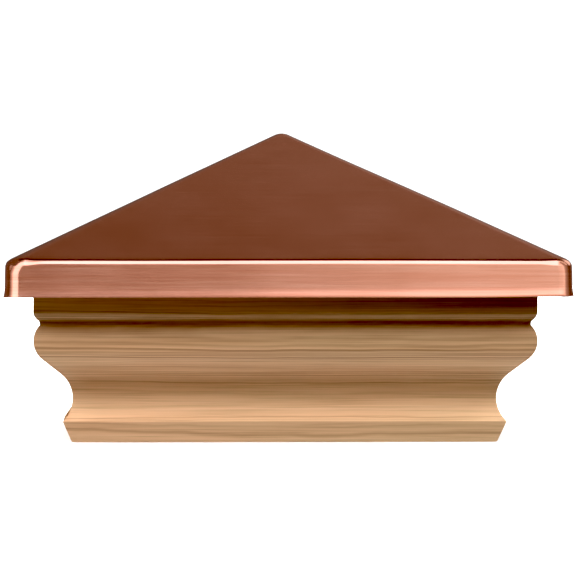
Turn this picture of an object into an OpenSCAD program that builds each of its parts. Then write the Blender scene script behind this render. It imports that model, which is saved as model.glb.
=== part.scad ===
// Fence post cap: a drawn copper pyramid on a top board, over four mitred
// cedar mouldings that make a square socket for a wooden post.
// Origin: centre of the cap, on the plane that the mouldings' lower edges make.
// +Z is up, and the front of the cap faces -Y.

/* [Post socket] */
// Width of the square post that the cap goes on
post_w = 89; // [80:1:140]
// Room between the post and each wall of the socket
post_clearance = 1.5; // [0.5:0.25:3]

/* [Moulding] */
// Thickness of the moulding from the socket wall to the fascia
moulding_t = 16.4; // [13:0.2:24]
// Height of the moulding
moulding_h = 38; // [36:0.5:50]

/* [Copper top] */
// Thickness of the copper sheet
copper_t = 0.6; // [0.4:0.1:1]
// How far the skirt's lower edge stands out from the fascia
overhang = 7.6; // [6:0.05:12]
// Height of the skirt, from its lower edge to the line of the bend
skirt_h = 8.7; // [7.5:0.1:12]
// How far the skirt leans out between the bend and its lower edge
skirt_lean = 0.3; // [0:0.1:1]
// How far the skirt hangs below the underside of the top board
skirt_drop = 1.7; // [0.5:0.1:3]
// Rise of the roof above the line of the bend
roof_rise = 34.5; // [15:0.5:60]
// Outside radius of the skirt's upright corners
corner_r = 3.5; // [2:0.25:6]
// Outside radius of the bend between skirt and roof
bend_r = 1.4; // [1.2:0.1:1.9]
// Outside radius of the peak
peak_r = 4.5; // [1.2:0.1:6]

/* [Top board] */
// Thickness of the board's rim, which the skirt hides
rim_t = 6.5; // [4:0.1:6.5]
// Height of the step that drops inside the mouldings
step_h = 3; // [1:0.5:6]
// Room between the board's edge and the copper, at its closest
edge_gap = 0.6; // [0.2:0.1:1.5]
// Room between the step and each wall of the socket
step_gap = 0.1; // [0.05:0.05:0.5]

/* [Fasteners] */
// Diameter of the brads that hold the board to the mouldings
brad_d = 1.2; // [1:0.1:1.6]
// Length of those brads
brad_l = 25; // [18:1:30]
// Distance of a brad from the middle of its side
brad_offset = 32; // [15:1:36]
// Diameter of the headless pins that hold the mitres
pin_d = 0.64; // [0.5:0.02:1]
// Length of those pins
pin_l = 18; // [12:1:22]

/* [Adhesive] */
// Length of each bead of adhesive under the copper
bead_l = 96; // [40:2:110]
// Width of each bead
bead_w = 6; // [3:0.5:8]

/* [Hidden] */
SIDES = ["front", "right", "back", "left"];
CORNERS = ["front_right", "back_right", "back_left", "front_left"];

eps = 0.01;
hole_room = 0.01;

// Half widths, measured from the cap's axis
socket_half = post_w / 2 + post_clearance;
fascia_half = socket_half + moulding_t;
skirt_half = fascia_half + overhang;
bend_half = skirt_half - skirt_lean;

// Heights above the mouldings' lower edges
skirt_bottom = moulding_h - skirt_drop;
bend_z = skirt_bottom + skirt_h;
board_top = moulding_h + rim_t;

// The roof's pitch, and the centres of its bend and peak
pitch = atan(roof_rise / bend_half);
bend_centre_z = bend_z + bend_r * tan(pitch) - bend_r / cos(pitch);
peak_centre_z = bend_z + roof_rise - peak_r / cos(pitch);
bend_turn = 90 - pitch;
bend_steps = 5;

// Outline of the board, clear of the copper's inside
board_half = bend_half - copper_t - edge_gap;
board_corner_r = corner_r - copper_t;

// The moulding's profile: x is measured from the fascia, z from the lower edge
foot = [-9.3, 0];
arris = [-7, 5.2];
cove_centre = [-1.45, 10.95];
cove_r = norm(cove_centre - arris);
bulge_r = 5.9;
bulge_centre = [-bulge_r, 25.3];
nose_r = 2.7;
nose_centre = [-nose_r, 32.65];
quirk_depth = 1.75;

// The straight stretch between cove and bulge touches both arcs. Each straight edge ends
// this far inside the arc that it runs into, so that the two truly cross.
tuck = 0.02;
ogee = bulge_centre - cove_centre;
ogee_turn = atan2(ogee[1], ogee[0]) + acos((cove_r + bulge_r) / norm(ogee));
ogee_normal = [cos(ogee_turn), sin(ogee_turn)];

// Fasteners
brad_half = socket_half + 6.5;
brad_head_d = 2;
brad_head_h = 0.6;
brad_tip = 2;
pin_tip = 1;
pin_set = 0.3;
// Each pin: [distance of its line from the socket wall, height, distance of its head from the axis]
PINS = [
    [9, 34.8, fascia_half - pin_set],
    [4.5, 4.4, fascia_half + arris[0] - 2 * pin_set]
];

// Puts its children, made for the front, on side i
module on_side(i) {
    rotate([0, 0, 90 * i]) children();
}

// Puts its children, made for the front right corner, on corner i
module on_corner(i) {
    mirror([i > 1 ? 1 : 0, 0, 0])
        mirror([0, i == 1 || i == 2 ? 1 : 0, 0]) children();
}

// A square with round corners, centred
module round_square(half, r) {
    square([2 * half, 2 * (half - r)], center = true);
    square([2 * (half - r), 2 * half], center = true);
    for (x = [-1, 1], y = [-1, 1])
        translate([x * (half - r), y * (half - r)]) circle(r, $fn = 48);
}

// The solid inside the copper's outer surface, moved in by inset.
// Its corners, its bend and its peak keep their centres.
module roof_solid(inset, bottom_z) {
    round_r = corner_r - inset;
    turn_r = bend_r - inset;
    low_half = skirt_half - corner_r + skirt_lean * (skirt_bottom - bottom_z) / skirt_h;
    hull() {
        for (x = [-1, 1], y = [-1, 1]) {
            translate([x * low_half, y * low_half, bottom_z])
                cylinder(r = round_r, h = eps, $fn = 32);
            for (i = [0:bend_steps]) {
                a = bend_turn * i / bend_steps;
                translate([
                    x * (bend_half - corner_r),
                    y * (bend_half - corner_r),
                    bend_centre_z + turn_r * sin(a) - eps
                ])
                    cylinder(r = round_r - turn_r * (1 - cos(a)), h = eps, $fn = 32);
            }
        }
        translate([0, 0, peak_centre_z]) sphere(r = peak_r - inset, $fn = 32);
    }
}

// One piece of sheet copper: roof, bend and skirt
module copper_top() {
    color([0.78, 0.46, 0.34])
        difference() {
            roof_solid(0, skirt_bottom);
            roof_solid(copper_t, skirt_bottom - 1);
        }
}

// Board that closes the frame: a rim that the copper sits on, and a step inside the mouldings
module top_board() {
    color([0.72, 0.56, 0.38])
        difference() {
            union() {
                translate([0, 0, moulding_h])
                    linear_extrude(rim_t) round_square(board_half, board_corner_r);
                translate([0, 0, moulding_h - step_h])
                    linear_extrude(step_h + rim_t / 2)
                        square(2 * (socket_half - step_gap), center = true);
            }
            for (i = [0:3]) brad_pair(i, hole_room);
        }
}

// Cross-section of the moulding, from the socket wall at the left to the fascia at the right.
// Between the bulge and the nose of the fascia is a quirk with a narrow flat bottom.
module moulding_profile() {
    difference() {
        union() {
            polygon([
                [-moulding_t, 0],
                foot,
                arris + 0.2 * (arris - foot),
                cove_centre + (cove_r - tuck) * ogee_normal,
                bulge_centre - (bulge_r - tuck) * ogee_normal,
                [-quirk_depth, bulge_centre[1]],
                [-quirk_depth, nose_centre[1]],
                [-tuck, nose_centre[1]],
                [-tuck, moulding_h],
                [-moulding_t, moulding_h]
            ]);
            translate(bulge_centre) circle(bulge_r, $fn = 64);
            translate(nose_centre) circle(nose_r, $fn = 64);
        }
        translate(cove_centre) circle(cove_r, $fn = 64);
    }
}

// One length of moulding with a mitre at each end, on side i
module moulding(i) {
    color([0.72, 0.54, 0.37])
        difference() {
            on_side(i)
                intersection() {
                    translate([-fascia_half - eps, -fascia_half, 0])
                        rotate([90, 0, 90])
                            mirror([1, 0, 0])
                                linear_extrude(2 * (fascia_half + eps)) moulding_profile();
                    linear_extrude(moulding_h)
                        polygon([[0, 0], [-skirt_half, -skirt_half], [skirt_half, -skirt_half]]);
                }
            for (side = [0:3]) brad_pair(side, hole_room);
            for (corner = [0:3]) pin_pair(corner, hole_room);
        }
}

// Bead of adhesive between the board and the copper, along side i
module adhesive(i) {
    outer = board_half - 2;
    inner = outer - bead_w;
    function under_copper(half) =
        bend_z + (bend_half - half) * tan(pitch) - copper_t / cos(pitch) - 2 * eps;
    color([0.86, 0.84, 0.78])
        on_side(i)
            translate([-bead_l / 2, 0, 0])
                rotate([90, 0, 90])
                    linear_extrude(bead_l)
                        polygon([
                            [-outer, board_top],
                            [-inner, board_top],
                            [-inner + 0.8, (board_top + under_copper(inner)) / 2],
                            [-inner, under_copper(inner)],
                            [-outer, under_copper(outer)]
                        ]);
}

// Two brads down through the board into the moulding on side i
module brad_pair(i, room = 0) {
    color([0.62, 0.62, 0.64])
        on_side(i)
            for (x = [-brad_offset, brad_offset])
                translate([x, -brad_half, board_top]) brad(room);
}

module brad(room) {
    translate([0, 0, -brad_head_h])
        cylinder(d = brad_head_d + 2 * room, h = brad_head_h + (room > 0 ? 1 : 0), $fn = 24);
    translate([0, 0, brad_tip - brad_l])
        cylinder(d = brad_d + 2 * room, h = brad_l - brad_tip - brad_head_h / 2, $fn = 24);
    translate([0, 0, -brad_l])
        cylinder(d1 = 0.2 + 2 * room, d2 = brad_d + 2 * room, h = brad_tip, $fn = 24);
}

// Two headless pins through the side moulding and across the mitre, at corner i
module pin_pair(i, room = 0) {
    color([0.62, 0.62, 0.64])
        on_corner(i)
            for (pin = PINS)
                translate([pin[2], -socket_half - pin[0], pin[1]])
                    rotate([0, -90, 0]) headless_pin(room);
}

module headless_pin(room) {
    r = pin_d / 2 + room;
    open = room > 0 ? 1 : 0;
    translate([0, 0, -open])
        cylinder(r = r, h = pin_l - pin_tip + open, $fn = 24);
    translate([0, 0, pin_l - pin_tip])
        cylinder(r1 = r, r2 = 0.08 + room, h = pin_tip, $fn = 24);
}

copper_top();
top_board();
for (i = [0:3]) {
    moulding(i);
    adhesive(i);
    brad_pair(i);
    pin_pair(i);
}
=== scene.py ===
"""Looks of a copper and cedar fence post cap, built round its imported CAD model.

The copper top and the four mouldings are fine meshes that stand for their CAD nodes. The board,
the adhesive and the fasteners are the CAD nodes themselves, with better materials.
Lengths are in metres, +Z is up, and the front of the cap faces -Y.
"""

import math

import bpy
import numpy as np
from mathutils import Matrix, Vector, noise


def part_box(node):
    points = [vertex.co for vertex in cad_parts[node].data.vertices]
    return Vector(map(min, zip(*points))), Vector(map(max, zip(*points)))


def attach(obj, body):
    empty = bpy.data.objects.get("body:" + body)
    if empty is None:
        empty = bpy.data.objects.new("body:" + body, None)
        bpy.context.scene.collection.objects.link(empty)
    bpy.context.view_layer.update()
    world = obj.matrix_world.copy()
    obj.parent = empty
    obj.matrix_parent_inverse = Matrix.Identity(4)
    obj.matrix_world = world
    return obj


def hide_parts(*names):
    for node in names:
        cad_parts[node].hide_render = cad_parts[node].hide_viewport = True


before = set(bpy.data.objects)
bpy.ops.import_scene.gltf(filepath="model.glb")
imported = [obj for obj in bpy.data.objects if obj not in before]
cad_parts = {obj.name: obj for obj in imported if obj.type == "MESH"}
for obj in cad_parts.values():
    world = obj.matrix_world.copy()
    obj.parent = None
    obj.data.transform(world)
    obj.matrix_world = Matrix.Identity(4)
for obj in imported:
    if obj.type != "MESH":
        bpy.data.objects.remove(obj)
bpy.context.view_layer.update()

MM = 0.001
SIDES = ["front", "right", "back", "left"]
CORNERS = ["front_right", "back_right", "back_left", "front_left"]

# ---------------------------------------------------------------- sizes, from the CAD model
copper_low, copper_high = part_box("copper_top")
front_low, front_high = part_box("moulding_front")

SKIRT_HALF = copper_high.x
SKIRT_BOTTOM = copper_low.z
FASCIA_HALF = -front_low.y
SOCKET_HALF = -front_high.y
MOULDING_H = front_high.z

# The copper's section
SHEET = 0.6 * MM
SKIRT_H = 8.7 * MM
SKIRT_LEAN = 0.08 * MM
FLARE = 0.35 * MM
FLARE_H = 3.2 * MM
LIP_R = 0.15 * MM
# The bend stands a little inside the skirt's widest place
BEND_HALF = SKIRT_HALF - 0.14 * MM
BEND_Z = SKIRT_BOTTOM + SKIRT_H
CORNER_R = 3.5 * MM
# Half of a side's straight stretch, at the bend
FLAT_HALF = BEND_HALF - CORNER_R
PEAK_R = 4.5 * MM
# How much of a side's straight stretch is left at the peak, as a share of the sheet's width there
TIP_SQUARENESS = 0.12
ROOF_RISE = 34.5 * MM
PITCH = math.atan(ROOF_RISE / BEND_HALF)
PEAK_CENTRE_Z = BEND_Z + ROOF_RISE - PEAK_R / math.cos(PITCH)
# The bend's radius at the middle of each side and at each corner, which were drawn a little differently.
# The order is that of SIDES and CORNERS.
# It starts from a crisp crease, and eases into the roof over the last few degrees with a larger radius.
SIDE_BEND_R = [1.5 * MM, 1.8 * MM, 1.5 * MM, 1.2 * MM]
CORNER_BEND_R = [2.4 * MM, 2.2 * MM, 2.6 * MM, 2.6 * MM]
CORNER_REACH = 4.5 * MM
# Just below the bend each corner opens out to a larger radius, like part of a ball
CORNER_GROWTH = [0.6 * MM, 0.8 * MM, 0.8 * MM, 1.4 * MM]
GROWTH_REACH = 3.2 * MM
CREASE_R = 0.7 * MM
CREASE_TURN = math.radians(16)
EASE_R = 4.5 * MM
EASE_TURN = math.radians(12)
# The skirt hangs a little lower than drawn, and its front right corner is bent up a little
SAG = 0.18 * MM
LIFT = 0.42 * MM
LIFT_REACH = 26 * MM
# The top was pressed on a little to the right of the frame's middle, and its peak leans that way
COPPER_SHIFT = 0.66 * MM
PEAK_SHIFT = 0.15 * MM
# Shallow waves in the sheet: how many to the metre, their height in mm, and where the pattern starts.
# They move the roof up, and every point outwards by WALL_SHARE of that, less and less within CALM_RADIUS.
SHEET_WAVES = [(26, 0.10, Vector((3.3, 1.7, 0.4))), (70, 0.02, Vector((7.1, 2.9, 5.2)))]
WALL_SHARE = 0.5
CALM_RADIUS = 5 * MM
# Points along the section and round the sheet
PEAK_STEPS = 5
ROOF_STEPS = 44
BEND_STEPS = 16
SKIRT_STEPS = 16
LIP_STEPS = 4
PER_SIDE = 72
PER_CORNER = 14

# The moulding's profile: x from the fascia, z from the lower edge
FOOT = (-9.3, 0.0)
ARRIS = (-7.0, 5.2)
COVE_CENTRE = (-1.45, 10.95)
COVE_R = 8.0
BULGE_CENTRE = (-5.9, 25.3)
BULGE_R = 5.9
NOSE_CENTRE = (-2.7, 32.65)
NOSE_R = 2.7
# One moulding has a rounder bead where the others have an arris
BEAD_CENTRE = (-10.15, 5.3)
BEAD_R = 2.9
# The quirk's bottom is a narrow flat: the bulge's arc and the nose's each stop this many degrees short of
# the place where they cross
BULGE_STOP = 9
NOSE_STOP = 21
# How far each edge of the profile is broken, the sharpest turn in degrees that is left, and the longest step
EDGE_BREAK = 0.35
SHARPEST_TURN = 20.0
PROFILE_STEP = 0.8
# Points on each of the profile's arcs, and on each broken edge
BEAD_STEPS = 12
COVE_STEPS = 30
BULGE_STEPS = 26
NOSE_STEPS = 12
EDGE_STEPS = 4
# Along each length: points, the gap left at a mitre, the planer's wander, and how far the mitred ends are
# eased. Only the face, which is everything nearer the fascia than FACE_DEPTH, wanders and is eased.
LENGTH_STEPS = 90
MITRE_GAP = 0.03 * MM
WANDER = 0.05 * MM
END_EASE = 0.10 * MM
FACE_DEPTH = 9 * MM
# The wander's waves to the metre, along and across, and how far its pattern moves on from length to length
WAVES_ALONG = 30
WAVES_ACROSS = 120
WANDER_SHIFT = 9.0
# How far the grain moves on from one length to the next: along, into and up the moulding
GRAIN_SHIFT = (0.31, 3.3 * MM, 0.8 * MM)
# Edges that turn more than this many degrees stay crisp
SHARP_EDGE = 50
# The growth rings run about a pith this far behind the fascia and this far above the lower edge
PITH_DEPTH = 45 * MM
PITH_UP = 8 * MM
# The nearest and the farthest radius that the table of rings covers, in mm; beyond them it starts again
RING_SPAN = (35.8, 49.6)
# The main rings: radius in mm, darkness, and how far the dark fades towards the pith in mm
GROWTH_RINGS = [(37.20, 0.60, 0.30), (40.15, 0.55, 0.45), (41.90, 0.50, 0.40), (43.30, 0.35, 0.40),
                (45.25, 0.95, 0.55), (46.30, 0.45, 0.80), (47.05, 0.90, 0.50), (47.75, 0.50, 0.50),
                (48.40, 0.35, 0.45)]
FINE_RING = 0.62 * MM

# The camera stands a little to the left of the cap's middle
LENS = 237.15
CAMERA_PLACE = (-29.8 * MM, -1000 * MM, 42.1 * MM)
CAMERA_TARGET = (2.5 * MM, 0, 38.2 * MM)
# Light levels: what the camera sees behind the cap, the softboxes' brightest, and the level that prints black
WHITE = 1.3
SOFTBOX = 7.0
BLACK = 0.06


# ---------------------------------------------------------------- mesh helpers
def grid_faces(rows, columns):
    """Quads over a grid of points that is stored row by row, and whose last column joins its first."""
    faces = []
    for r in range(rows - 1):
        for c in range(columns):
            right = (c + 1) % columns
            here, below = r * columns, (r + 1) * columns
            faces.append((here + c, below + c, below + right, here + right))
    return faces


def turned(x, y, side):
    """The point turned about the cap's axis by that many quarter turns."""
    a = math.radians(90 * side)
    return x * math.cos(a) - y * math.sin(a), x * math.sin(a) + y * math.cos(a)


def new_piece(name, points, faces, material, smooth=True):
    mesh = bpy.data.meshes.new(name)
    mesh.from_pydata([tuple(p) for p in points], [], faces)
    mesh.validate()
    mesh.materials.append(material)
    mesh.polygons.foreach_set("use_smooth", [smooth] * len(mesh.polygons))
    piece = bpy.data.objects.new(name, mesh)
    bpy.context.scene.collection.objects.link(piece)
    return piece


def point_attribute(piece, name, vectors):
    layer = piece.data.attributes.new(name, "FLOAT_VECTOR", "POINT")
    layer.data.foreach_set("vector", np.asarray(vectors, np.float32).ravel())


def arc(centre, radius, start, end, steps):
    """Points on a circle from one angle to another, in degrees."""
    turn = [math.radians(start + (end - start) * i / steps) for i in range(steps + 1)]
    return [(centre[0] + radius * math.cos(a), centre[1] + radius * math.sin(a)) for a in turn]


def angle_to(centre, point):
    return math.degrees(math.atan2(point[1] - centre[1], point[0] - centre[0]))


def crossing(a, a_radius, b, b_radius, side):
    """Where two circles cross, on the right (1) or the left (-1) of the way from a to b."""
    gap = math.dist(a, b)
    along = (gap ** 2 + a_radius ** 2 - b_radius ** 2) / (2 * gap)
    off = side * math.sqrt(a_radius ** 2 - along ** 2)
    ahead = ((b[0] - a[0]) / gap, (b[1] - a[1]) / gap)
    return a[0] + ahead[0] * along + ahead[1] * off, a[1] + ahead[1] * along - ahead[0] * off


def eased(points, cut, sharpest):
    """The outline with each turn of more than sharpest degrees rounded off over the distance cut, or over a
    little less than half of an edge that is short."""
    made = []
    count = len(points)
    for i, p in enumerate(points):
        before, after = points[i - 1], points[(i + 1) % count]
        a = Vector((before[0] - p[0], before[1] - p[1]))
        b = Vector((after[0] - p[0], after[1] - p[1]))
        turn = 180 - math.degrees(a.angle(b))
        if turn < sharpest:
            made.append(p)
            continue
        start = Vector(p) + a.normalized() * min(cut, a.length * 0.45)
        end = Vector(p) + b.normalized() * min(cut, b.length * 0.45)
        for k in range(EDGE_STEPS + 1):
            t = k / EDGE_STEPS
            q = start * (1 - t) ** 2 + Vector(p) * 2 * t * (1 - t) + end * t ** 2
            made.append((q.x, q.y))
    return made


def resampled(points, step):
    """The closed outline with no edge longer than step."""
    made = []
    for i, p in enumerate(points):
        q = points[(i + 1) % len(points)]
        pieces = max(1, math.ceil(math.dist(p, q) / step))
        step_x, step_y = q[0] - p[0], q[1] - p[1]
        made += [(p[0] + step_x * k / pieces, p[1] + step_y * k / pieces) for k in range(pieces)]
    return made


# ---------------------------------------------------------------- node helpers
class Nodes:
    """A short way to build a node tree: each call adds a node and links or sets its inputs."""

    def __init__(self, tree):
        self.tree = tree

    def add(self, kind, inputs=None, **settings):
        node = self.tree.nodes.new("ShaderNode" + kind)
        for key, value in settings.items():
            setattr(node, key, value)
        for key, value in (inputs or {}).items():
            socket = node.inputs[key]
            if isinstance(value, bpy.types.NodeSocket):
                self.tree.links.new(value, socket)
            else:
                socket.default_value = value
        return node

    def noise(self, vector, scale, detail, roughness, distortion=0.0):
        made = self.add("TexNoise", {"Vector": vector, "Scale": scale, "Detail": detail,
                                     "Roughness": roughness, "Distortion": distortion})
        return made.outputs["Fac"]

    def stretched(self, vector, scale, offset=(0.0, 0.0, 0.0)):
        return self.add("Mapping", {"Vector": vector, "Scale": scale, "Location": offset}).outputs["Vector"]

    def math(self, operation, a, b=0.0, c=0.0):
        return self.add("Math", {0: a, 1: b, 2: c}, operation=operation).outputs[0]

    def blend(self, a, b, share, mode="MIX"):
        node = self.add("Mix", {0: share}, data_type="RGBA", blend_type=mode)
        for index, value in ((6, a), (7, b)):
            if isinstance(value, bpy.types.NodeSocket):
                self.tree.links.new(value, node.inputs[index])
            else:
                node.inputs[index].default_value = value
        return node.outputs[2]

    def ramp(self, share, stops):
        node = self.add("ValToRGB", {"Fac": share})
        ramp = node.color_ramp
        while len(ramp.elements) < len(stops):
            ramp.elements.new(0.5)
        for element, (position, colour) in zip(ramp.elements, stops):
            element.position = position
            element.color = colour if len(colour) == 4 else (*colour, 1.0)
        return node.outputs["Color"]

    def range(self, value, low, high, to_low=0.0, to_high=1.0):
        node = self.add("MapRange", {"Value": value, "From Min": low, "From Max": high,
                                     "To Min": to_low, "To Max": to_high})
        return node.outputs["Result"]


def new_material(name, **fixed):
    """A material with one Principled shader; fixed values go straight on its sockets."""
    material = bpy.data.materials.new(name)
    material.use_nodes = True
    tree = material.node_tree
    tree.nodes.clear()
    nodes = Nodes(tree)
    shader = nodes.add("BsdfPrincipled", {k.replace("_", " "): v for k, v in fixed.items()})
    output = nodes.add("OutputMaterial")
    tree.links.new(shader.outputs["BSDF"], output.inputs["Surface"])
    return material, nodes, shader


def drive(nodes, shader, colour, roughness, height, distance):
    """Links colour and roughness, and turns height into a bump of that depth in metres."""
    nodes.tree.links.new(colour, shader.inputs["Base Color"])
    nodes.tree.links.new(roughness, shader.inputs["Roughness"])
    bump = nodes.add("Bump", {"Strength": 1.0, "Distance": distance, "Height": height})
    nodes.tree.links.new(bump.outputs["Normal"], shader.inputs["Normal"])


def grey(value):
    return (value, value, value, 1.0)


# ---------------------------------------------------------------- materials
# Noise scales, and the three numbers that stretched() is given first, are in cells to the metre.
def copper_material():
    """New sheet copper, brushed along the eaves, with faint handling marks."""
    material, nodes, shader = new_material("copper", Metallic=1.0)
    brush = nodes.add("Attribute", attribute_name="brush").outputs["Vector"]
    place = nodes.add("TexCoord").outputs["Object"]
    fine = nodes.noise(nodes.stretched(brush, (60, 5200, 1)), 1.0, 3.0, 0.6)
    broad = nodes.noise(nodes.stretched(brush, (22, 900, 1), (3.1, 7.7, 0)), 1.0, 2.0, 0.5)
    marks = nodes.noise(nodes.stretched(brush, (140, 420, 1), (9.0, 2.0, 0)), 1.0, 3.0, 0.6)
    cloud = nodes.noise(place, 48, 3.0, 0.55)
    tone = nodes.math("MULTIPLY_ADD", broad, 0.5, nodes.math("MULTIPLY", fine, 0.5))
    # The brushing is faint on the roof and plain on the skirt
    from_peak = nodes.add("SeparateXYZ", {"Vector": brush}).outputs["Y"]
    plainness = nodes.range(from_peak, 74 * MM, 79 * MM, 0.4, 1.4)
    middle_tone = 0.52
    tone = nodes.math("MULTIPLY_ADD", nodes.math("SUBTRACT", tone, middle_tone), plainness, middle_tone)
    colour = nodes.ramp(tone, [(0.30, (0.87, 0.375, 0.262)), (middle_tone, (0.93, 0.433, 0.312)),
                               (0.72, (0.97, 0.485, 0.362))])
    aged = nodes.ramp(cloud, [(0.35, (0.92, 0.89, 0.87)), (0.65, (1.0, 1.0, 1.0))])
    colour = nodes.blend(colour, aged, 0.8, "MULTIPLY")
    roughness = nodes.math("MULTIPLY_ADD", fine, 0.08, nodes.math("MULTIPLY_ADD", cloud, 0.06, 0.07))
    roughness = nodes.math("MULTIPLY_ADD", marks, 0.04, roughness)
    height = nodes.math("MULTIPLY_ADD", broad, 0.6, nodes.math("MULTIPLY", fine, 0.4))
    drive(nodes, shader, colour, roughness, height, 0.012 * MM)
    return material


def ring_radius(nodes, grain):
    """Distance from the pith. The rings crowd on the ogee and open out in the cove, sway a little along the
    length, and climb a little near the left end."""
    along, depth, up = nodes.add("SeparateXYZ", {"Vector": grain}).outputs
    back = nodes.math("ADD", depth, PITH_DEPTH)
    rise = nodes.math("SUBTRACT", up, PITH_UP)
    radius = nodes.math("SQRT", nodes.math("MULTIPLY_ADD", back, back, nodes.math("MULTIPLY", rise, rise)))
    sway = nodes.noise(nodes.stretched(grain, (9, 12, 12)), 1.0, 1.0, 0.4)
    ripple = nodes.noise(nodes.stretched(grain, (55, 90, 90), (4, 1, 2)), 1.0, 2.0, 0.5)
    climb = nodes.range(along, -20 * MM, -62 * MM)
    radius = nodes.math("MULTIPLY_ADD", nodes.math("SUBTRACT", sway, 0.5), 1.2 * MM, radius)
    radius = nodes.math("MULTIPLY_ADD", nodes.math("SUBTRACT", ripple, 0.5), 0.5 * MM, radius)
    return nodes.math("MULTIPLY_ADD", climb, -0.35 * MM, radius)


def main_rings(nodes, radius):
    """The darkness of the main rings, from the table."""
    first, last = RING_SPAN
    place = nodes.range(nodes.math("WRAP", radius, last * MM, first * MM), first * MM, last * MM)
    stops = [(0.0, grey(0.0))]
    for middle, darkness, fade in GROWTH_RINGS:
        for offset, level in ((-fade, 0.0), (-0.08, darkness), (0.12, 0.0)):
            stops.append(((middle + offset - first) / (last - first), grey(level)))
    return nodes.ramp(place, stops)


def fine_rings(nodes, radius):
    """Finer lines beside the main rings, each with a weight of its own, and fainter near the pith."""
    turns = nodes.math("MULTIPLY", radius, 1 / FINE_RING)
    line = nodes.ramp(nodes.math("FRACT", turns), [
        (0.0, grey(0.0)), (0.45, grey(0.10)), (0.82, grey(1.0)), (1.0, grey(0.0))])
    number = nodes.add("CombineXYZ", {"X": nodes.math("FLOOR", turns)}).outputs["Vector"]
    weight = nodes.add("TexWhiteNoise", {"Vector": number}, noise_dimensions="3D").outputs["Value"]
    line = nodes.math("MULTIPLY", line, nodes.range(weight, 0.2, 1.0, 0.10, 0.72))
    return nodes.math("MULTIPLY", line, nodes.range(radius, 36.6 * MM, 39.4 * MM, 0.25, 1.0))


def painted_eave_shade(nodes, grain):
    """Painted shade: the top of the fascia, where the skirt shades it, darkened to a dark red, more and more
    from left to right.
    """
    parts = nodes.add("SeparateXYZ", {"Vector": grain}).outputs
    top = nodes.range(parts["Z"], 33.0 * MM, 34.2 * MM)
    strength = nodes.range(parts["X"], -45 * MM, 45 * MM, 0.0, 0.36)
    return nodes.blend((1.0, 1.0, 1.0, 1.0), (0.0, 0.15, 0.15, 1.0), nodes.math("MULTIPLY", top, strength))


def cedar_material():
    """Planed cedar: growth rings cut lengthwise, long fibres, and a warmer and a cooler cast."""
    material, nodes, shader = new_material("cedar", IOR=1.45, Specular_IOR_Level=0.30)
    grain = nodes.add("Attribute", attribute_name="grain").outputs["Vector"]
    radius = ring_radius(nodes, grain)
    ring = nodes.math("MAXIMUM", main_rings(nodes, radius), fine_rings(nodes, radius))
    strength = nodes.noise(nodes.stretched(grain, (14, 260, 260), (2, 6, 1)), 1.0, 2.0, 0.5)
    ring = nodes.math("MULTIPLY", ring, nodes.range(strength, 0.30, 0.65, 0.70, 1.15))
    fibre = nodes.noise(nodes.stretched(grain, (34, 3000, 3000)), 1.0, 2.0, 0.6)
    strand = nodes.noise(nodes.stretched(grain, (18, 900, 900), (5, 3, 1)), 1.0, 3.0, 0.6)
    patch = nodes.noise(nodes.stretched(grain, (10, 90, 90), (1, 8, 3)), 1.0, 2.0, 0.5)
    early = nodes.ramp(strand, [(0.30, (0.600, 0.369, 0.227)), (0.50, (0.655, 0.412, 0.257)),
                                (0.72, (0.705, 0.453, 0.289))])
    # The wood is palest near the pith
    pale = nodes.range(radius, 38.2 * MM, 36.9 * MM, 1.0, 1.10)
    pale = nodes.add("CombineXYZ", {"X": pale, "Y": pale, "Z": pale}).outputs["Vector"]
    cast = nodes.ramp(patch, [(0.35, (1.01, 0.98, 0.94)), (0.65, (0.97, 1.01, 0.96))])
    # The second of these tints is painted shade under the skirt, not a stain in the wood
    for tint in (pale, painted_eave_shade(nodes, grain), cast):
        early = nodes.blend(early, tint, 1.0, "MULTIPLY")
    late = nodes.blend(early, (0.50, 0.42, 0.38, 1.0), 1.0, "MULTIPLY")
    colour = nodes.blend(early, late, ring)
    pores = nodes.ramp(fibre, [(0.32, (0.86, 0.85, 0.83)), (0.46, (1.0, 1.0, 1.0)),
                               (0.68, (1.06, 1.06, 1.05))])
    colour = nodes.blend(colour, pores, 1.0, "MULTIPLY")
    roughness = nodes.math("MULTIPLY_ADD", fibre, 0.16, nodes.math("MULTIPLY_ADD", ring, -0.08, 0.55))
    height = nodes.math("MULTIPLY_ADD", fibre, 0.45, nodes.math("MULTIPLY", ring, 0.35))
    height = nodes.math("MULTIPLY_ADD", strand, 0.3, height)
    drive(nodes, shader, colour, roughness, height, 0.06 * MM)
    return material


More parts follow.
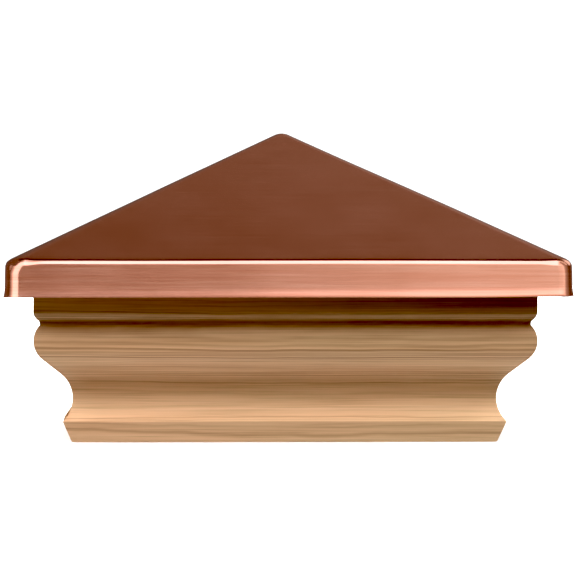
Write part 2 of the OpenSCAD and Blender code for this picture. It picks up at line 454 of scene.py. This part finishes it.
def plywood_material():
    """Exterior plywood: a knife-cut face veneer, and plies with dark glue lines on the edge."""
    material, nodes, shader = new_material("plywood", IOR=1.45, Specular_IOR_Level=0.25)
    place = nodes.add("TexCoord").outputs["Object"]
    up = nodes.add("SeparateXYZ", {"Vector": place}).outputs[2]
    bands = nodes.math("PINGPONG", nodes.math("MULTIPLY", up, 1000 / 1.9), 0.5)
    glue = nodes.range(bands, 0.0, 0.07, 1.0, 0.0)
    face = nodes.add("SeparateXYZ", {"Vector": nodes.add("NewGeometry").outputs["Normal"]}).outputs[2]
    edge = nodes.range(nodes.math("ABSOLUTE", face), 0.4, 0.6, 1.0, 0.0)
    swirl = nodes.noise(nodes.stretched(place, (14, 46, 40)), 1.0, 3.0, 0.55, 0.6)
    veins = nodes.math("PINGPONG", nodes.math("MULTIPLY", swirl, 26), 1.0)
    fibre = nodes.noise(nodes.stretched(place, (60, 2600, 2600)), 1.0, 3.0, 0.6)
    colour = nodes.ramp(veins, [(0.0, (0.24, 0.14, 0.075)), (0.45, (0.33, 0.21, 0.12)),
                                (1.0, (0.38, 0.25, 0.15))])
    colour = nodes.blend(colour, nodes.ramp(fibre, [(0.3, (0.84, 0.82, 0.79)), (0.6, (1.0, 1.0, 1.0))]),
                         1.0, "MULTIPLY")
    colour = nodes.blend(colour, (0.13, 0.07, 0.035, 1.0), nodes.math("MULTIPLY", glue, edge))
    roughness = nodes.math("MULTIPLY_ADD", fibre, 0.2, 0.55)
    height = nodes.math("MULTIPLY_ADD", veins, 0.3, fibre)
    drive(nodes, shader, colour, roughness, height, 0.08 * MM)
    return material


def adhesive_material():
    """Cured gun-grade adhesive, off-white, with a skin that has wrinkled a little."""
    material, nodes, shader = new_material("adhesive", IOR=1.48)
    place = nodes.add("TexCoord").outputs["Object"]
    skin = nodes.noise(place, 420, 3.0, 0.5)
    lumps = nodes.noise(place, 110, 2.0, 0.5)
    colour = nodes.ramp(lumps, [(0.3, (0.62, 0.57, 0.47)), (0.7, (0.76, 0.72, 0.62))])
    roughness = nodes.math("MULTIPLY_ADD", skin, 0.2, 0.35)
    drive(nodes, shader, colour, roughness, nodes.math("MULTIPLY_ADD", lumps, 0.8, skin), 0.15 * MM)
    return material


def wire_material():
    """Galvanised wire: dull zinc with drawing lines along it."""
    material, nodes, shader = new_material("galvanised_wire", Metallic=1.0)
    place = nodes.add("TexCoord").outputs["Object"]
    spangle = nodes.noise(place, 900, 2.0, 0.5)
    lines = nodes.noise(place, 2600, 2.0, 0.5)
    colour = nodes.ramp(spangle, [(0.3, (0.42, 0.43, 0.45)), (0.7, (0.60, 0.61, 0.63))])
    roughness = nodes.math("MULTIPLY_ADD", spangle, 0.25, 0.28)
    drive(nodes, shader, colour, roughness, lines, 0.02 * MM)
    return material


# ---------------------------------------------------------------- the copper top
def sheet_columns():
    """One entry for each column of points round the sheet, side by side from the front: the side, the place
    along it from -1 to 1, the turn into the corner, the nearest corner and the distance to its arc."""
    made = []
    for side in range(4):
        for i in range(PER_SIDE):
            # Closer together towards the corners
            s = -math.cos(math.pi * i / PER_SIDE)
            corner = side if s > 0 else (side - 1) % 4
            made.append((side, s, 0.0, corner, FLAT_HALF * (1 - abs(s))))
        for i in range(PER_CORNER):
            made.append((side, 1.0, math.pi / 2 * i / PER_CORNER, side, 0.0))
    return made


def smooth_step(share):
    """0 up to 0, 1 from 1, and an even curve between."""
    share = min(1.0, max(0.0, share))
    return share * share * (3 - 2 * share)


def bend_radius(side, corner, distance):
    near = smooth_step(1 - distance / CORNER_REACH)
    return SIDE_BEND_R[side] + (CORNER_BEND_R[corner] - SIDE_BEND_R[side]) * near


def sheet_section(inset, bend_r):
    """(half width, height) of a face of the sheet at the middle of a side, from the peak down to the lip."""
    top_r = PEAK_R - inset
    peak_turns = [PITCH * i / PEAK_STEPS for i in range(1, PEAK_STEPS + 1)]
    rows = [(top_r * math.sin(a), PEAK_CENTRE_Z + top_r * math.cos(a)) for a in peak_turns]
    turn = math.pi / 2 - PITCH
    stages = [
        (0.0, CREASE_TURN, CREASE_R),
        (CREASE_TURN, turn - EASE_TURN, bend_r),
        (turn - EASE_TURN, turn, EASE_R),
    ]

    def bend_point(a):
        inward, up = 0.0, 0.0
        for start, end, radius in stages:
            low, high = min(a, start), min(a, end)
            inward += (radius - inset) * (math.cos(low) - math.cos(high))
            up += (radius - inset) * (math.sin(high) - math.sin(low))
        return inward, up

    reach, climb = bend_point(turn)
    face = BEND_HALF - inset
    foot = BEND_Z - inset * (1 / math.cos(PITCH) - math.tan(PITCH)) + reach * math.tan(PITCH) - climb
    bend = []
    for i in range(BEND_STEPS + 1):
        inward, up = bend_point(turn * (1 - i / BEND_STEPS))
        bend.append((face - inward, foot + up))
    rows += [between(rows[PEAK_STEPS - 1], bend[0], i / ROOF_STEPS) for i in range(1, ROOF_STEPS)]
    rows += bend
    edge = SKIRT_BOTTOM + LIP_R
    for i in range(1, SKIRT_STEPS + 1):
        z = foot + (edge - foot) * i / SKIRT_STEPS
        kick = max(0.0, 1 - (z - edge) / FLARE_H)
        rows.append((face + SKIRT_LEAN * i / SKIRT_STEPS + FLARE * kick ** 2, z))
    return rows


def between(a, b, share):
    return tuple(p + (q - p) * share for p, q in zip(a, b))


def sheet_loop(bend_r):
    """The whole section: outer face, rounded lip, then the inner face back up to the peak."""
    outer, inner = sheet_section(0.0, bend_r), sheet_section(SHEET, bend_r)
    w, z = outer[-1]
    turns = [math.pi / 2 * k / LIP_STEPS for k in range(LIP_STEPS + 1)]
    lip = [(w - LIP_R * (1 - math.cos(a)), z - LIP_R * math.sin(a)) for a in turns[1:]]
    lip += [(w - SHEET + LIP_R * (1 - math.sin(a)), z - LIP_R * math.cos(a)) for a in turns]
    return outer + lip + inner[::-1][1:]


def worked(point):
    """The point moved by the waves, by the sag and the bent-up front right corner, and to the right."""
    x, y, z = point
    waves = [height * noise.noise(Vector(point) * rate + start) for rate, height, start in SHEET_WAVES]
    push = sum(waves) * MM
    radius = max(math.hypot(x, y), MM)
    outward = WALL_SHARE * push * min(1.0, radius / CALM_RADIUS) / radius
    low = min(1.0, max(0.0, (BEND_Z - z) / SKIRT_H))
    high = max(0.0, (z - BEND_Z) / ROOF_RISE)
    from_corner = 2 * SKIRT_HALF - x + y
    near = max(0.0, 1 - from_corner / LIFT_REACH)
    lift = (LIFT * near ** 2 - SAG) * low
    aside = COPPER_SHIFT + PEAK_SHIFT * high
    return x * (1 + outward) + aside, y * (1 + outward), z + (1 - low) * push + lift


def brush_run(x, y, half):
    """Distance along the eaves from the back left corner, either way round, so that it has no jump."""
    if abs(y) >= abs(x):
        return half + x if y > 0 else 3 * half + x
    return half - y if x < 0 else 3 * half - y


def sheet_column(side, s, corner_turn, corner, distance):
    """The points of one column, and for each its run along the eaves and its distance down the sheet."""
    loop = sheet_loop(bend_radius(side, corner, distance))
    top_w = loop[PEAK_STEPS - 1][0]
    bend_w = loop[PEAK_STEPS + ROOF_STEPS - 1][0]
    length = 0.0
    line, mark = [], []
    for k, (w, z) in enumerate(loop):
        length += math.dist(loop[k - 1], (w, z)) if k else 0.0
        # The straight stretch of a side shrinks up the roof, and never quite to nothing
        share = min(1.0, max(0.0, (w - top_w) / (bend_w - top_w)))
        growth = CORNER_GROWTH[corner] * smooth_step(1 - (BEND_Z - z) / GROWTH_REACH)
        centre = TIP_SQUARENESS * min(w, bend_w) + (FLAT_HALF - TIP_SQUARENESS * bend_w - growth) * share
        x = centre * s + (w - centre) * math.sin(corner_turn)
        y = -centre - (w - centre) * math.cos(corner_turn)
        x, y = turned(x, y, side)
        line.append((x, y, z))
        mark.append((brush_run(x, y, w), length, 0.0))
    return line, mark


def copper_top(material):
    """The drawn sheet as one closed mesh."""
    lines, marks = zip(*[sheet_column(*column) for column in sheet_columns()])
    count, depth = len(lines), len(lines[0])
    points = [lines[c][r] for r in range(depth) for c in range(count)]
    brushes = [marks[c][r] for r in range(depth) for c in range(count)]
    faces = grid_faces(depth, count)
    top, under = len(points), len(points) + 1
    points += [(0, 0, PEAK_CENTRE_Z + PEAK_R), (0, 0, PEAK_CENTRE_Z + PEAK_R - SHEET)]
    brushes += [(0, 0, 0), (0, brushes[-1][1], 0)]
    last = (depth - 1) * count
    for c in range(count):
        beside = (c + 1) % count
        faces.append((top, c, beside))
        faces.append((under, last + beside, last + c))
    piece = new_piece("copper_sheet_top", [worked(p) for p in points], faces, material)
    point_attribute(piece, "brush", brushes)
    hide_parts("copper_top")
    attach(piece, "root")


# ---------------------------------------------------------------- the mouldings
def moulding_outline(with_bead):
    """The moulding's cross-section in metres, from the fascia inwards and from the lower edge up."""
    span = math.dist(COVE_CENTRE, BULGE_CENTRE)
    ogee = angle_to(COVE_CENTRE, BULGE_CENTRE) + math.degrees(math.acos((COVE_R + BULGE_R) / span))
    quirk = crossing(BULGE_CENTRE, BULGE_R, NOSE_CENTRE, NOSE_R, 1)
    depth = (FASCIA_HALF - SOCKET_HALF) / MM
    outline = [(-depth, 0.0), FOOT]
    cove_foot = ARRIS
    if with_bead:
        reach = math.dist(FOOT, BEAD_CENTRE)
        bevel = angle_to(FOOT, BEAD_CENTRE) - math.degrees(math.asin(BEAD_R / reach))
        cove_foot = crossing(BEAD_CENTRE, BEAD_R, COVE_CENTRE, COVE_R, -1)
        outline += arc(BEAD_CENTRE, BEAD_R, bevel - 90, angle_to(BEAD_CENTRE, cove_foot), BEAD_STEPS)
    outline += arc(COVE_CENTRE, COVE_R, angle_to(COVE_CENTRE, cove_foot) + 360, ogee, COVE_STEPS)
    bulge_end = angle_to(BULGE_CENTRE, quirk) - BULGE_STOP
    nose_start = angle_to(NOSE_CENTRE, quirk) + NOSE_STOP
    outline += arc(BULGE_CENTRE, BULGE_R, ogee - 180, bulge_end, BULGE_STEPS)
    outline += arc(NOSE_CENTRE, NOSE_R, nose_start, 0.0, NOSE_STEPS)
    outline += [(0.0, MOULDING_H / MM), (-depth, MOULDING_H / MM)]
    outline = eased(outline, EDGE_BREAK, SHARPEST_TURN)
    return [(x * MM, z * MM) for x, z in resampled(outline, PROFILE_STEP)]


def moulding(index, material, outline):
    """One length of moulding, mitred at both ends, with a little wander from the planer."""
    name = SIDES[index]
    count = len(outline)
    points, grains = [], []
    for k in range(LENGTH_STEPS + 1):
        # Closer together towards the mitres
        s = math.sin(math.pi / 2 * (2 * k / LENGTH_STEPS - 1))
        ease = END_EASE if k in (0, LENGTH_STEPS) else 0.0
        for x, z in outline:
            along = s * (FASCIA_HALF + x - MITRE_GAP)
            spot = (along * WAVES_ALONG + index * WANDER_SHIFT, x * WAVES_ACROSS, z * WAVES_ACROSS)
            wave = noise.noise(Vector(spot)) * WANDER
            out = x + wave - ease if x > -FACE_DEPTH else x
            points.append((along, -(FASCIA_HALF + out), z))
            grains.append(tuple(place + shift * index for place, shift in zip((along, x, z), GRAIN_SHIFT)))
    faces = grid_faces(LENGTH_STEPS + 1, count)
    faces.append(tuple(range(count)))
    faces.append(tuple(reversed(range(LENGTH_STEPS * count, (LENGTH_STEPS + 1) * count))))
    points = [(*turned(x, y, index), z) for x, y, z in points]
    piece = new_piece("cedar_moulding_" + name, points, faces, material)
    point_attribute(piece, "grain", grains)
    piece.data.set_sharp_from_angle(angle=math.radians(SHARP_EDGE))
    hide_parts("moulding_" + name)
    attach(piece, "root")


# ---------------------------------------------------------------- carried-over CAD nodes
def dress(node, material):
    """Puts a material on each slot of a CAD node."""
    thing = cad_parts[node]
    for material_slot in thing.material_slots:
        material_slot.material = material


# ---------------------------------------------------------------- studio
def pale_floor():
    """A pale floor that shows the cap's shadow; the light that comes up from it is in the surroundings."""
    material, nodes, shader = new_material("studio_floor", Specular_IOR_Level=0.1, Roughness=0.9)
    place = nodes.add("TexCoord").outputs["Object"]
    mottle = nodes.noise(place, 3.0, 2.0, 0.5)
    colour = nodes.ramp(mottle, [(0.3, (0.80, 0.80, 0.80)), (0.7, (0.83, 0.83, 0.83))])
    nodes.tree.links.new(colour, shader.inputs["Base Color"])
    reach = 12.0
    below = -0.1 * MM
    points = [(-reach, -reach, below), (reach, -reach, below), (reach, reach, below), (-reach, reach, below)]
    floor = new_piece("studio_floor", points, [(0, 1, 2, 3)], material, smooth=False)
    floor.visible_diffuse = False
    floor.visible_glossy = False
    floor.visible_shadow = False


def window(nodes, value, low, high, soft):
    """1 between low and high, falling to 0 over the distance soft."""
    rise = nodes.range(value, low - soft / 2, low + soft / 2)
    fall = nodes.range(value, high - soft / 2, high + soft / 2, 1.0, 0.0)
    return nodes.math("MULTIPLY", rise, fall)


def card(nodes, across, across_span, along, along_span, level):
    """The light of one soft-edged card: each span is (low, high, softness)."""
    both = nodes.math("MULTIPLY", window(nodes, across, *across_span), window(nodes, along, *along_span))
    return nodes.math("MULTIPLY", both, level)


def level_ramp(nodes, value, low, high, stops):
    """A grey level read off between stops, which are (value, level)."""
    share = nodes.range(value, low, high)
    return nodes.ramp(share, [((v - low) / (high - low), grey(level)) for v, level in stops])


def room_light(nodes, x, y, height, turn):
    """The dark room, lighter below the horizon. In a band over the cap and behind it the light is weaker
    overhead and stronger lower down, and grows to the right."""
    room = level_ramp(nodes, height, -90, 90, [(-90, 0.50), (-8, 0.42), (-3, 0.26), (20, 0.21), (90, 0.26)])
    behind = level_ramp(nodes, turn, 90, 180, [
        (90, 0.09), (119, 0.08), (124.5, 0.25), (127.2, 0.24), (129.5, 0.31), (150, 0.28), (180, 0.20)])
    behind = nodes.math("MULTIPLY", behind, nodes.math("MULTIPLY_ADD", x, 1.3, 1.0))
    band = nodes.math("MULTIPLY", window(nodes, y, 0.0, 2.0, 0.2), window(nodes, x, -0.24, 0.24, 0.16))
    return nodes.blend(room, behind, nodes.math("MULTIPLY", band, nodes.range(height, -4, 0)))


def front_light(nodes, bearing, height):
    """Ahead and low, by bearing: bright on the left, dark just left of the middle and fairly bright on the
    right, where it is brighter still just under the strip."""
    left_part = [(-84, 0.15), (-70, 0.45), (-55, 1.00), (-44, 1.80), (-11, 1.80)]
    right_part = [(48, 1.20), (60, 0.55), (72, 0.42), (90, 0.26), (110, 0.12)]
    low_part = [(-6, 0.32), (-1.6, 0.24), (0, 0.48), (2, 0.64), (5, 1.02), (30, 1.02)]
    high_part = [(-6, 0.34), (-1.6, 0.14), (0, 0.42), (2.2, 1.40), (5, 1.85), (30, 1.70)]
    low = level_ramp(nodes, bearing, -100, 120, left_part + low_part + right_part)
    high = level_ramp(nodes, bearing, -100, 120, left_part + high_part + right_part)
    return nodes.blend(low, high, nodes.range(height, 10, 18))


def under_edge(nodes, x, y, z):
    """1 below the edge overhead where the strip and the card to its left stop, which slants at both ends."""
    right_slant = nodes.math("MULTIPLY_ADD", nodes.math("MAXIMUM", x, 0.0), 0.7, y)
    left_edge = level_ramp(nodes, x, -1, 0.1, [
        (-0.76, 0.60), (-0.44, 0.88), (-0.16, 0.97), (-0.07, 0.98), (-0.03, 1.05)])
    return nodes.math("MULTIPLY", nodes.range(right_slant, 0.16, 0.24, 1.0, 0.0),
                      nodes.range(nodes.math("SUBTRACT", z, left_edge), -0.03, 0.03, 1.0, 0.0))


def mirrored_light(nodes, x, y, z):
    """What the metal sees: a dark room with a bright strip over the front and softer cards round about.
    Angles are in degrees; turn goes up from the horizon in front, over the top, to the horizon behind."""
    degrees = 180 / math.pi
    ahead = nodes.math("MULTIPLY", y, -1.0)
    height = nodes.math("MULTIPLY", nodes.math("ARCSINE", z), degrees)
    bearing = nodes.math("MULTIPLY", nodes.math("ARCTAN2", x, ahead), degrees)
    turn = nodes.math("MULTIPLY", nodes.math("ARCTAN2", z, ahead), degrees)
    side_turn = nodes.math("MULTIPLY", nodes.math("ARCTAN2", z, x), degrees)
    in_front = nodes.math("MULTIPLY", window(nodes, height, -5, 33, 3), window(nodes, bearing, -90, 110, 10))
    light = nodes.blend(room_light(nodes, x, y, height, turn), front_light(nodes, bearing, height), in_front)
    strip = card(nodes, x, (-0.18, 0.30, 0.24), turn, (34, 170, 2), 2.3)
    left_card = card(nodes, bearing, (-52, -9, 6), height, (5, 170, 4), 1.8)
    edge = under_edge(nodes, x, y, z)
    cards = [
        nodes.math("MULTIPLY", strip, edge),
        nodes.math("MULTIPLY", left_card, edge),
        card(nodes, bearing, (6, 54, 10), height, (22, 58, 14), 1.2),
        card(nodes, bearing, (6, 96, 8), height, (20, 64, 8), 0.45),
        card(nodes, y, (-0.14, 0.14, 0.05), side_turn, (30, 80, 6), 1.0),
        card(nodes, bearing, (-100, -80, 5), height, (20, 36, 5), 0.7),
        card(nodes, bearing, (110, 150, 8), height, (18, 50, 8), 1.2),
    ]
    for one in cards:
        light = nodes.math("MAXIMUM", light, one)
    # Bright cards are cooler than the room
    brightest = 2.4
    tint = nodes.ramp(nodes.math("MULTIPLY", light, 1 / brightest), [
        (0.08, (0.93, 0.88, 0.84)), (0.20, (1.0, 1.0, 1.0)), (0.40, (0.99, 1.06, 1.05)),
        (0.70, (1.0, 1.04, 1.10)), (0.95, (1.0, 0.99, 1.20))])
    return nodes.blend(light, tint, 1.0, "MULTIPLY")


def cast_light(nodes, z):
    """What lights the wood, the same all round: a high ring of softboxes, and the floor close by.
    The ramp holds shares of the brightest level, which are scaled back up after it."""
    levels = [(-1.0, 7.0), (-0.97, 7.0), (-0.93, 2.6), (-0.85, 0.4), (-0.75, 0.1), (-0.38, 0.0), (0.47, 0.0),
              (0.54, 3.6), (0.60, 5.6), (0.70, 6.3), (0.80, 6.0), (0.87, 5.0), (1.0, 4.0)]
    stops = [((1 + sine) / 2, grey(level / SOFTBOX)) for sine, level in levels]
    shares = nodes.ramp(nodes.range(z, -1, 1), stops)
    return nodes.blend(shares, grey(SOFTBOX), 1.0, "MULTIPLY")


def studio_world():
    """Soft surroundings. The camera sees white, the metal its cards, and the wood an even soft light."""
    world = bpy.data.worlds.new("studio")
    bpy.context.scene.world = world
    world.use_nodes = True
    world.cycles.sampling_method = "NONE"
    tree = world.node_tree
    tree.nodes.clear()
    nodes = Nodes(tree)
    x, y, z = nodes.add("SeparateXYZ", {"Vector": nodes.add("TexCoord").outputs["Generated"]}).outputs
    rays = nodes.add("LightPath").outputs
    colour = nodes.blend(cast_light(nodes, z), mirrored_light(nodes, x, y, z), rays["Is Glossy Ray"])
    colour = nodes.blend(colour, grey(WHITE), rays["Is Camera Ray"])
    background = nodes.add("Background", {"Color": colour, "Strength": 1.0})
    output = nodes.add("OutputWorld")
    tree.links.new(background.outputs[0], output.inputs["Surface"])


def aim(thing, target):
    """Turns a lamp or a camera to look at the target."""
    thing.rotation_mode = "QUATERNION"
    thing.rotation_quaternion = (Vector(target) - thing.location).to_track_quat("-Z", "Y")


def side_light():
    """A weak light low on the left, so that the shadow under the eaves isn't even."""
    light = bpy.data.lights.new("side_light", "AREA")
    light.shape = "RECTANGLE"
    light.size, light.size_y = 0.12, 0.10
    light.energy = 0.07
    thing = bpy.data.objects.new("side_light", light)
    thing.location = (-0.22, -0.26, 0.03)
    aim(thing, (-0.02, 0, 0.03))
    thing.visible_camera = False
    thing.visible_glossy = False
    bpy.context.scene.collection.objects.link(thing)


def studio_camera():
    """A long lens at about the middle height of the cap."""
    data = bpy.data.cameras.new("camera")
    data.lens = LENS
    data.sensor_width = 36.0
    camera = bpy.data.objects.new("camera", data)
    camera.location = CAMERA_PLACE
    aim(camera, CAMERA_TARGET)
    bpy.context.scene.collection.objects.link(camera)
    bpy.context.scene.camera = camera


def print_levels():
    """Plain colours, with the blacks deepened as in a printed catalogue."""
    view = bpy.context.scene.view_settings
    view.view_transform = "Standard"
    view.use_curve_mapping = True
    view.curve_mapping.black_level = (BLACK, BLACK, BLACK)
    view.curve_mapping.update()


# ---------------------------------------------------------------- build
copper = copper_material()
cedar = cedar_material()
plywood = plywood_material()
adhesive = adhesive_material()
wire = wire_material()

copper_top(copper)
for side_index in range(4):
    moulding(side_index, cedar, moulding_outline(with_bead=side_index == 3))
dress("top_board", plywood)
for side_name in SIDES:
    dress("adhesive_" + side_name, adhesive)
    dress("brads_" + side_name, wire)
for corner_name in CORNERS:
    dress("mitre_pins_" + corner_name, wire)

pale_floor()
studio_world()
side_light()
studio_camera()
print_levels()
